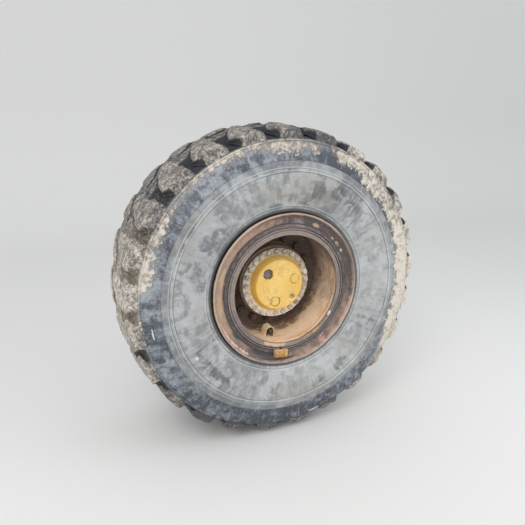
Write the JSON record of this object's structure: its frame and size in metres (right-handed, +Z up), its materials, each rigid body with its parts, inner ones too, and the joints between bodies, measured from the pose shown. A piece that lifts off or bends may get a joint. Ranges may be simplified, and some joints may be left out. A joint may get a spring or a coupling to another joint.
{
  "type": "front wheel of an articulated dump truck",
  "caption": "Large earthmover wheel: lugged tyre on a multi-piece rim with a planetary hub, turning on a hollow spindle that bolts to the axle.",
  "frame": {"origin": "centre of the spindle flange's face, which meets the axle", "axes": "+Y along the wheel's axis towards the axle, so the wheel's face looks to -Y; +Z up; -X towards the truck's front"},
  "size_m": [1.58, 0.6423, 1.5799],
  "materials": {
    "tyre_rubber": "worn rubber, grey with dust and dried mud",
    "rusty_rim": "rusted steel with the paint gone",
    "rusty_ring": "rusted steel with a brighter worn lip",
    "rusty_band": "dark rusted steel",
    "dark_rust": "dark grimy rust",
    "orange_rust": "bright orange rust",
    "old_bolts": "rusted and dirty bolts",
    "black_cap": "black cap, slightly glossy",
    "guard_paint": "dirty yellow paint",
    "hub_iron": "dirty, rusted casting",
    "yellow_paint": "faded yellow paint with dusty edge",
    "dusty_bolts": "bolts grey with dust",
    "pin_paint": "painted plugs, one of them bare",
    "plug_steel": "worn plug with traces of paint",
    "brake_iron": "light rust with rubbed faces",
    "axle_steel": "dirty cast steel",
    "seal_rubber": "oily black rubber",
    "caliper_iron": "rusty casting",
    "pad_lining": "dull brake lining"
  },
  "bodies": {
    "axle_end": {"spindle": "axle_steel", "hub_seal": "seal_rubber", "caliper_bracket": "axle_steel", "calipers": "caliper_iron", "caliper_bolts": "old_bolts", "brake_pads": "pad_lining"},
    "wheel": {"tyre": "tyre_rubber", "rim_barrel": "rusty_rim", "gutter_section": "rusty_rim", "outer_side_ring": "rusty_ring", "inner_side_ring": "rusty_ring", "bead_seat_band": "rusty_band", "lock_ring": "dark_rust", "lock_key": "orange_rust", "wheel_disc": "dark_rust", "wheel_bolts": "old_bolts", "valve": "black_cap", "valve_guard": "guard_paint", "hub": "hub_iron", "planet_cover": "yellow_paint", "cover_bolts": "dusty_bolts", "planet_pin_plugs": "pin_paint", "oil_plug": "plug_steel", "brake_disc": "brake_iron", "brake_disc_bolts": "old_bolts"}
  },
  "joints": [
    {"name": "wheel_spin", "type": "hinge", "parent": "axle_end", "child": "wheel", "pos_m": [0, -0.33, 0], "axis": [0, 1, 0], "continuous": true}
  ]
}
